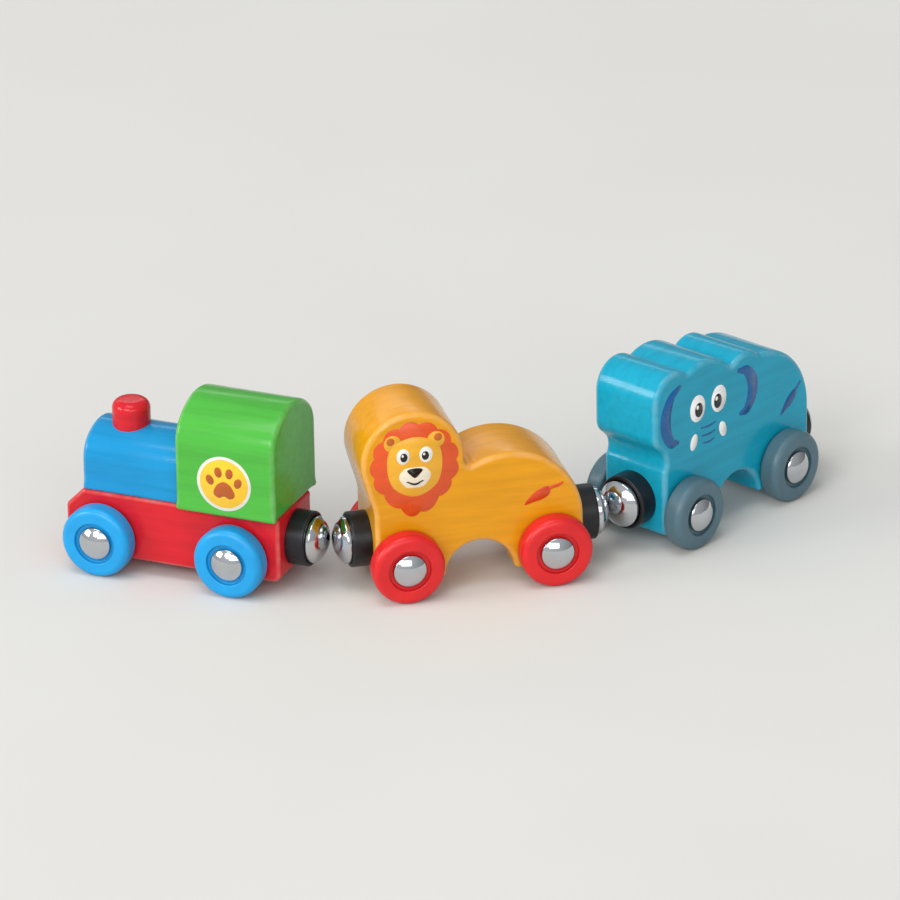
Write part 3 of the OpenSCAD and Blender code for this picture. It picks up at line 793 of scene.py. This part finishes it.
def elephant_circles():
    """Circles of the elephant's side view.

    They follow the feet and the arch, the back, the rear ear, the head, the front ear and its tip, the
    groove under it, and the lip of the chest.
    """
    front = elephant.box("elephant_front_cup")[1][0]
    rear = elephant.box("elephant_rear_cup")[0][0]
    back = moved(ELEPHANT_BACK, elephant.rear_axle)
    ears_and_head = (ELEPHANT_REAR_EAR, ELEPHANT_HEAD, ELEPHANT_FRONT_EAR, ELEPHANT_EAR_TIP)
    rear_ear, head, front_ear, ear_tip = (moved(circle, elephant.front_axle) for circle in ears_and_head)
    groove_x = front - (GROOVE_R - GROOVE_DEPTH)
    drop = math.sqrt((LIP_R + GROOVE_R) ** 2 - (front + LIP_R - groove_x) ** 2)
    return [
        [front + FOOT_R, UNDER + FOOT_R, FOOT_R],
        *arch_circles(ELEPHANT_ARCH_X, ELEPHANT_ARCH_R),
        [rear - FOOT_R, UNDER + FOOT_R, FOOT_R],
        back,
        hollow(back, rear_ear, SHOULDER_HOLLOW_R),
        rear_ear,
        hollow(rear_ear, head, EAR_HOLLOW_R),
        head,
        hollow(head, front_ear, EAR_HOLLOW_R),
        front_ear,
        ear_tip,
        [groove_x, GROOVE_Z, -GROOVE_R],
        [front + LIP_R, GROOVE_Z - drop, LIP_R],
    ]


side_block(loco, "chassis_block", chassis_circles(), CHASSIS_RIM, loco_red, "red_paint", "loco_chassis")
end_block(loco, "boiler_block", boiler_circles(), BOILER_RIM, boiler_blue, "blue_paint", "loco_boiler")
end_block(loco, "cab_block", cab_circles(), CAB_RIM, cab_green, "green_paint", "loco_cab")
side_block(lion, "lion_block", lion_circles(), WAGON_RIM, lion_amber, "amber_paint", "lion_body")
side_block(
    elephant, "elephant_block", elephant_circles(), WAGON_RIM, elephant_teal, "teal_paint", "elephant_body"
)


# Turned pieces


def add_chimney():
    """Turned peg with a rounded top edge and a flat top."""
    low, high = loco.box("loco_chimney")
    middle = (low + high) / 2
    radius, foot, top = (high[0] - low[0]) / 2, low[2], high[2]
    t = np.linspace(0, np.pi / 2, CHIMNEY_EDGE_POINTS)
    edge_r = radius - CHIMNEY_EDGE * (1 - np.cos(t))
    edge_z = top - CHIMNEY_EDGE * (1 - np.sin(t))
    wall = [[0, foot], [radius, foot], [radius, foot + CHIMNEY_COLLAR]]
    profile = np.concatenate([wall, np.stack([edge_r, edge_z], -1), [[radius / 4, top], [0, top]]])
    points, faces = turned(profile, closed=False)
    row = loco.to_row(points + [middle[0], middle[1], 0])
    add_piece("chimney_peg", row, faces, loco.body, loco_red, "red_paint", ["loco_chimney"])


def wheel_profile(width):
    """Closed profile (radius, distance outwards) of a wheel: bore, tread, face and its cap's recess."""
    floor = width - RECESS_DEPTH
    circles = [
        [BORE_R + BORE_BACK_EDGE, BORE_BACK_EDGE, BORE_BACK_EDGE],
        [WHEEL_R - WHEEL_BACK_EDGE, WHEEL_BACK_EDGE, WHEEL_BACK_EDGE],
        [WHEEL_R - WHEEL_EDGE, width - WHEEL_EDGE, WHEEL_EDGE],
        [RECESS_R + RECESS_LIP, width - RECESS_LIP, RECESS_LIP],
        [RECESS_R - RECESS_ROOT, floor + RECESS_ROOT, -RECESS_ROOT],
        [BORE_R + BORE_FRONT_EDGE, floor - BORE_FRONT_EDGE, BORE_FRONT_EDGE],
    ]
    return belt(circles, WHEEL_STEP)[0]


def add_wheels(vehicle, material, slot):
    """Four wheels, each riding on its own body."""
    for end, x in (("front", vehicle.front_axle), ("rear", vehicle.rear_axle)):
        for side, sign in (("left", -1), ("right", 1)):
            node = f"{vehicle.prefix}_{end}_{side}_wheel"
            low, high = vehicle.box(node)
            inner = high[1] if sign < 0 else low[1]
            points, faces = turned(wheel_profile(high[1] - low[1]), WHEEL_SIDES)
            local = np.stack([x + points[:, 0], inner + sign * points[:, 2], WHEEL_R + points[:, 1]], -1)
            add_piece(f"{node}_turned", vehicle.to_row(local), faces, node, material, slot, [node])


def add_caps(vehicle):
    """Four push caps: a short straight rim, a rolled edge and a dome.

    The dome's sphere has the radius (r r + h h) / 2h, r being the cap's radius and h the dome's rise.
    """
    node = f"{vehicle.prefix}_hub_caps"
    low, high = vehicle.box(node)
    radius = (high[0] - low[0] - vehicle.wheelbase) / 2
    wheel_face = vehicle.box(f"{vehicle.prefix}_front_right_wheel")[1][1]
    base = wheel_face - RECESS_DEPTH + CAP_GAP
    rise = high[1] - base - CAP_RIM
    sphere = (radius**2 + rise**2) / (2 * rise)
    slope = np.linspace(math.asin(radius / sphere), 0, CAP_DOME_POINTS)
    dome = np.stack([sphere * np.sin(slope), CAP_RIM + rise - sphere * (1 - np.cos(slope))], -1)
    rim = [[0, 0], [radius - CAP_ROLL, 0], [radius, CAP_ROLL], [radius, CAP_RIM - CAP_NECK]]
    points, faces = turned(np.concatenate([rim, dome[1:]]), CAP_SIDES, closed=False)
    parts = []
    for x in (vehicle.front_axle, vehicle.rear_axle):
        for sign in (-1, 1):
            local = np.stack([x + points[:, 0], sign * (base + points[:, 2]), WHEEL_R + points[:, 1]], -1)
            parts.append((vehicle.to_row(local), faces))
    add_piece(f"{vehicle.prefix}_domed_caps", *joined(parts), vehicle.body, chrome, "chrome", [node])


def cup_profile(cup_r, cup_l, magnet_r):
    """Closed profile (radius, distance from the wall) of a cup round its magnet."""
    mouth = magnet_r + MAGNET_PLAY
    circles = [
        [mouth + CUP_BACK_EDGE, CUP_BACK_EDGE, CUP_BACK_EDGE],
        [cup_r - CUP_BACK_EDGE, CUP_BACK_EDGE, CUP_BACK_EDGE],
        [cup_r - CUP_EDGE, cup_l - CUP_EDGE, CUP_EDGE],
        [mouth + CUP_MOUTH_EDGE, cup_l - CUP_MOUTH_EDGE, CUP_MOUTH_EDGE],
    ]
    return belt(circles, CUP_STEP)[0]


def magnet_profile(magnet_r, start, face):
    """Open profile (radius, distance from the wall) of a magnet: a short drum, a dome and its flat."""
    centre = face - math.sqrt(DOME_R**2 - DOME_FLAT_R**2)
    steepest, flattest = math.asin(magnet_r / DOME_R), math.asin(DOME_FLAT_R / DOME_R)
    slope = np.linspace(steepest, flattest, MAGNET_DOME_POINTS)
    dome = np.stack([DOME_R * np.sin(slope), centre + DOME_R * np.cos(slope)], -1)
    drum = [[0, start], [magnet_r, start], [magnet_r, dome[0, 1] - MAGNET_NECK]]
    return np.concatenate([drum, dome, [[DOME_FLAT_R / 2, face], [0, face]]])


def add_coupler(vehicle, end):
    """Coupler on an end wall: a cup with a rounded mouth, and in it a magnet with a domed, plated face."""
    cup, magnet = f"{vehicle.prefix}_{end}_cup", f"{vehicle.prefix}_{end}_magnet"
    cup_low, cup_high = vehicle.box(cup)
    magnet_low, magnet_high = vehicle.box(magnet)
    sign = -1 if end == "front" else 1
    wall = cup_high[0] if sign < 0 else cup_low[0]
    height = (cup_low[2] + cup_high[2]) / 2
    cup_r, cup_l = (cup_high[2] - cup_low[2]) / 2, cup_high[0] - cup_low[0]
    magnet_r = (magnet_high[2] - magnet_low[2]) / 2
    face = (magnet_high[0] - wall) if sign > 0 else (wall - magnet_low[0])

    def on_wall(points):
        """Stands a turned shape on the wall, its axis pointing out of it."""
        local = [wall + sign * points[:, 2], points[:, 0], height + points[:, 1]]
        return vehicle.to_row(np.stack(local, -1))

    points, faces = turned(cup_profile(cup_r, cup_l, magnet_r))
    add_piece(f"{cup}_turned", on_wall(points), faces, vehicle.body, black_plastic, "black_plastic", [cup])
    points, faces = turned(magnet_profile(magnet_r, cup_l / 2, face), closed=False)
    add_piece(f"{magnet}_turned", on_wall(points), faces, vehicle.body, chrome, "chrome", [magnet])


add_chimney()
add_wheels(loco, sky_wheel, "sky_blue_wheels")
add_wheels(lion, red_wheel, "red_wheels")
add_wheels(elephant, grey_wheel, "grey_wheels")
for vehicle, ends in ((loco, ["rear"]), (lion, ["front", "rear"]), (elephant, ["front", "rear"])):
    add_caps(vehicle)
    for end in ends:
        add_coupler(vehicle, end)
for name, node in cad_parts.items():
    if name.endswith(("axle", "screw", "screws")):
        node.data.materials[0] = axle_steel
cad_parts["loco_dowels"].data.materials[0] = bare_wood


# Prints


def add_prints(vehicle, slot, half_w, prints):
    """Prints (name, loops, layer, colour code) on both sides; a higher layer lies on the lower ones."""
    for name, loops, layer, code in prints:
        parts = []
        for loop in loops:
            points, faces = print_patch(loop, half_w, layer * PRINT_STEP)
            for sign in (-1, 1):
                parts.append((vehicle.to_row(points[:, [0, 2, 1]] * [1, sign, 1]), faces))
        material = printed(name.replace("_", " "), code, vehicle)
        add_piece(name, *joined(parts), vehicle.body, material, slot)


def around(middle, knots):
    """Closed curve through knots that are given from a middle."""
    return smooth_loop(np.array(knots) + middle)


def pair(middle, half_gap, height, half_u, half_v, aside=0.0, lean=0.0):
    """Two ovals, mirrored about a face's middle but both shifted aside alike."""
    u, v = middle
    return [oval(u + aside + s * half_gap, v + height, half_u, half_v, s * lean) for s in (-1, 1)]


def mane_loop():
    """Mane of rounded locks: an ellipse whose radius swells by a rectified sine wave.

    A bell curve about the lowest point lets it hang lower at the chin.
    """
    half_u, half_v, locks = 13.0, 13.2, 13
    lock_depth, lock_sharpness = 0.08, 0.8
    chin_drop, chin_width = 0.22, 0.55
    t = np.linspace(0, 2 * np.pi, LOCK_POINTS * locks, endpoint=False)
    swell = 1 - lock_depth + lock_depth * np.abs(np.sin(locks * t / 2)) ** lock_sharpness
    chin = 1 + chin_drop * np.exp(-(((t - 1.5 * np.pi) / chin_width) ** 2))
    u = LION_FACE[0] + half_u * swell * np.cos(t)
    v = LION_FACE[1] + half_v * swell * chin * np.sin(t)
    return np.stack([u, v], -1)


def lion_smile():
    """Stroke under the lion's nose that is thickest in its middle."""
    half, corner_z, middle_z = 2.3, -5.1, -6.0
    knots = [(-half, corner_z, 0.35), (0, middle_z, 0.6), (half, corner_z, 0.35)]
    return stroke(np.array(knots) + (*LION_FACE, 0))


def wrinkle(half, height):
    """Short stroke across the elephant's trunk that sags in its middle."""
    u, sag = ELEPHANT_FACE[0], 0.35
    tip_w, middle_w = 0.45, 0.7
    return stroke([(u - half, height + sag, tip_w), (u, height, middle_w), (u + half, height + sag, tip_w)])


def ear_stroke(line):
    """Tapered stroke along an ear's edge, from its upper to its lower tip."""
    widths = [1.4, 3.2, 4.4, 4.2, 3.2, 1.4]
    return stroke(np.column_stack([line, widths]))


MANE_ORANGE = "#e2531c"
LION_GOLD = "#f0b02a"
brow = [(8.0, 0.2), (6.4, 6.0), (0, 8.4), (-6.4, 6.0)]
jaw = [(-8.0, 0.2), (-6.2, -6.6), (0, -9.8), (6.2, -6.6)]
muzzle_top = [(4.6, -3.6), (3.1, -1.2), (0, -0.8), (-3.1, -1.2)]
muzzle_chin = [(-4.6, -3.6), (-2.7, -6.6), (0, -7.1), (2.7, -6.6)]
nose = [(2.2, -1.6), (1.1, -3.2), (0, -4.0), (-1.1, -3.2), (-2.2, -1.6), (0, -1.1)]
lion_dark = [*pair(LION_FACE, 3.1, 2.5, 1.05, 1.35), around(LION_FACE, nose), lion_smile()]
lion_tail = [(24.6, 29.6, 0.8), (23.2, 28.9, 1.0), (21.4, 28.5, 1.1), (19.4, 27.2, 1.2)]
lion_tuft_top = [(20.6, 28.9), (18.4, 28.6), (15.8, 27.0), (13.4, 24.0)]
lion_tuft_under = [(16.4, 24.6), (18.8, 25.2), (20.8, 26.6)]
lion_prints = [
    ("lion_mane_print", [mane_loop()], 1, MANE_ORANGE),
    ("lion_ear_print", pair(LION_FACE, 6.3, 7.0, 2.5, 2.5), 2, LION_GOLD),
    ("lion_inner_ear_print", pair(LION_FACE, 6.9, 7.7, 1.2, 1.2), 3, "#c9641c"),
    ("lion_face_print", [around(LION_FACE, brow + jaw)], 4, LION_GOLD),
    ("lion_muzzle_print", [around(LION_FACE, muzzle_top + muzzle_chin)], 5, "#f3e8d0"),
    ("lion_eye_print", pair(LION_FACE, 3.3, 2.8, 1.9, 2.4), 6, "#f2f1ec"),
    ("lion_pupil_print", lion_dark, 7, "#17130f"),
    ("lion_glint_print", pair(LION_FACE, 3.1, 3.0, 0.34, 0.4, aside=-0.35), 8, "#f6f6f2"),
    ("lion_tail_print", [stroke(lion_tail)], 1, MANE_ORANGE),
    ("lion_tuft_print", [smooth_loop(lion_tuft_top + lion_tuft_under)], 2, "#d9481a"),
]
add_prints(lion, "amber_paint", BODY_HALF_W, lion_prints)

ELEPHANT_WHITE = "#fbfbf8"
front_ear = [(-23.6, 49.3), (-27.4, 47.0), (-29.6, 42.4), (-29.6, 37.4), (-27.4, 33.2), (-24.6, 32.4)]
rear_ear = [(2.6, 45.6), (6.2, 44.4), (8.6, 40.6), (8.4, 36.2), (6.2, 32.6), (3.4, 32.0)]
elephant_tail = [(30.0, 32.9, 0.9), (28.8, 31.7, 1.1), (26.8, 30.2, 1.3)]
trunk_wrinkles = [wrinkle(3.2, 33.0), wrinkle(2.8, 30.5), wrinkle(2.4, 28.1)]
blue_strokes = [ear_stroke(front_ear), ear_stroke(rear_ear), *trunk_wrinkles, stroke(elephant_tail)]
elephant_tuft_top = [(28.0, 31.6), (25.8, 30.8), (23.2, 28.6), (21.2, 25.4)]
elephant_tuft_under = [(24.2, 26.4), (26.6, 27.8), (28.2, 29.8)]
eyes = pair(ELEPHANT_FACE, 4.7, 0.2, 3.3, 4.1)
tusks = pair(ELEPHANT_FACE, 6.4, -9.8, 1.5, 2.5, lean=18)
elephant_prints = [
    ("elephant_ear_print", blue_strokes, 1, "#0a5c9c"),
    ("elephant_tuft_print", [smooth_loop(elephant_tuft_top + elephant_tuft_under)], 2, "#0a4f8c"),
    ("elephant_eye_print", eyes + tusks, 1, ELEPHANT_WHITE),
    ("elephant_pupil_print", pair(ELEPHANT_FACE, 4.2, -0.4, 1.7, 2.2), 2, "#10131a"),
    ("elephant_glint_print", pair(ELEPHANT_FACE, 4.2, 0.5, 0.55, 0.65, aside=-0.55), 3, ELEPHANT_WHITE),
]
add_prints(elephant, "teal_paint", BODY_HALF_W, elephant_prints)

BADGE = ((cab_low[0] + cab_high[0]) / 2, BADGE_Z)
paw_pad_top = [(3.3, -3.2), (2.1, -0.5), (0, 0.6), (-2.1, -0.5)]
paw_pad_under = [(-3.3, -3.2), (-1.8, -4.5), (0, -3.9), (1.8, -4.5)]
toe_places = [(-4.3, 0.7, 24), (-1.7, 3.3, 8), (1.7, 3.3, -8), (4.3, 0.7, -24)]
toes = [oval(BADGE[0] + x, BADGE[1] + z, 1.15, 1.6, lean) for x, z, lean in toe_places]
badge_prints = [
    ("badge_edge_print", [oval(*BADGE, 8.3, 8.3, count=BADGE_POINTS)], 1, "#e3e2db"),
    ("badge_disc_print", [oval(*BADGE, 7.4, 7.4, count=BADGE_POINTS)], 2, "#f6c52c"),
    ("badge_paw_print", [around(BADGE, paw_pad_top + paw_pad_under), *toes], 3, "#b4571d"),
]
add_prints(loco, "green_paint", CAB_HALF_W, badge_prints)


# Stage, light and camera


def add_floor():
    """Wide pale floor that keeps the train's shadow."""
    mesh = bpy.data.meshes.new("floor")
    ends = [(-1, -1), (1, -1), (1, 1), (-1, 1)]
    mesh.from_pydata([(x * FLOOR_HALF, y * FLOOR_HALF, 0) for x, y in ends], [], [(0, 1, 2, 3)])
    material = bpy.data.materials.new("pale floor")
    material.use_nodes = True
    n = Nodes(material.node_tree)
    shader = n.tree.nodes["Principled BSDF"]
    cloud = n.stretch(n.noise(n.place(), FLOOR_SCALE), window=(0.35, 0.65), onto=(0.0, 0.3))
    n.link(n.mix(cloud, srgb("#d9d8d4"), srgb("#d4d2cd")), shader, "Base Color")
    shader.inputs["Roughness"].default_value = 0.9
    shader.inputs["Specular IOR Level"].default_value = 0.0
    mesh.materials.append(material)
    floor = bpy.data.objects.new("floor", mesh)
    bpy.context.scene.collection.objects.link(floor)
    floor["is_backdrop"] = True


def add_softbox(name, place, width, height, power):
    """Soft rectangular lamp that faces the train."""
    lamp = bpy.data.lights.new(name, "AREA")
    lamp.shape = "RECTANGLE"
    lamp.size, lamp.size_y = width, height
    lamp.energy = power
    holder = bpy.data.objects.new(name, lamp)
    holder.location = place
    aim = Vector(LAMP_TARGET) - Vector(place)
    holder.rotation_mode = "QUATERNION"
    holder.rotation_quaternion = aim.to_track_quat("-Z", "Y")
    holder.visible_camera = False
    bpy.context.scene.collection.objects.link(holder)


def add_sun():
    """Even daylight from the light's direction."""
    lamp = bpy.data.lights.new("daylight", "SUN")
    lamp.energy = SUN_STRENGTH
    lamp.angle = math.radians(SUN_SPREAD)
    holder = bpy.data.objects.new("daylight", lamp)
    holder.rotation_mode = "QUATERNION"
    holder.rotation_quaternion = Vector(LIGHT_WAY).to_track_quat("Z", "Y")
    bpy.context.scene.collection.objects.link(holder)


def add_world():
    """Pale studio all round: its strength follows the cosine of the angle to the light's direction."""
    world = bpy.data.worlds.new("studio")
    world.use_nodes = True
    n = Nodes(world.node_tree)
    background = n.tree.nodes["Background"]
    way = n.add("ShaderNodeTexCoord").outputs["Generated"]
    cosine = {"operation": "DOT_PRODUCT"}
    toward = n.add("ShaderNodeVectorMath", cosine, i0=way, i1=LIGHT_WAY).outputs["Value"]
    background.inputs["Color"].default_value = STUDIO_WHITE
    strength = n.stretch(toward, window=(-1.0, 1.0), onto=(DIM_SIDE, BRIGHT_SIDE))
    n.link(strength, background, "Strength")
    bpy.context.scene.world = world


def add_camera():
    """Camera of the photo: its place seen from the lion wagon, turned so that the train sits mid-frame.

    A few rounds move the target by what is missing to the middle of the train's outline in the view.
    """
    place = lion.to_row(CAMERA_PLACE)
    points = np.concatenate([np.array(o.bound_box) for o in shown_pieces()])
    target = (points.min(0) + points.max(0)) / 2
    for _ in range(AIM_ROUNDS):
        ahead = target - place
        ahead /= np.linalg.norm(ahead)
        right = np.cross(ahead, UP)
        right /= np.linalg.norm(right)
        above = np.cross(right, ahead)
        offset = points - place
        depth = offset @ ahead
        seen = np.stack([offset @ right, offset @ above], -1) / depth[:, None]
        middle = (seen.min(0) + seen.max(0)) / 2
        target = target + (middle[0] * right + middle[1] * above) * np.linalg.norm(target - place)
    half_view = np.abs(seen - middle).max() / FRAME_SHARE
    data = bpy.data.cameras.new("camera")
    data.sensor_width = 36.0
    data.lens = data.sensor_width / 2 / half_view
    data.clip_start, data.clip_end = 0.01, 50.0
    camera = bpy.data.objects.new("camera", data)
    camera.location = place
    camera.rotation_mode = "QUATERNION"
    roll = Quaternion((0.0, 0.0, 1.0), math.radians(CAMERA_ROLL))
    camera.rotation_quaternion = Vector(target - place).to_track_quat("-Z", "Y") @ roll
    bpy.context.scene.collection.objects.link(camera)
    bpy.context.scene.camera = camera


add_floor()
add_world()
add_sun()
for softbox in SOFTBOXES:
    add_softbox(*softbox)
add_camera()
bpy.context.scene.view_settings.view_transform = "Standard"
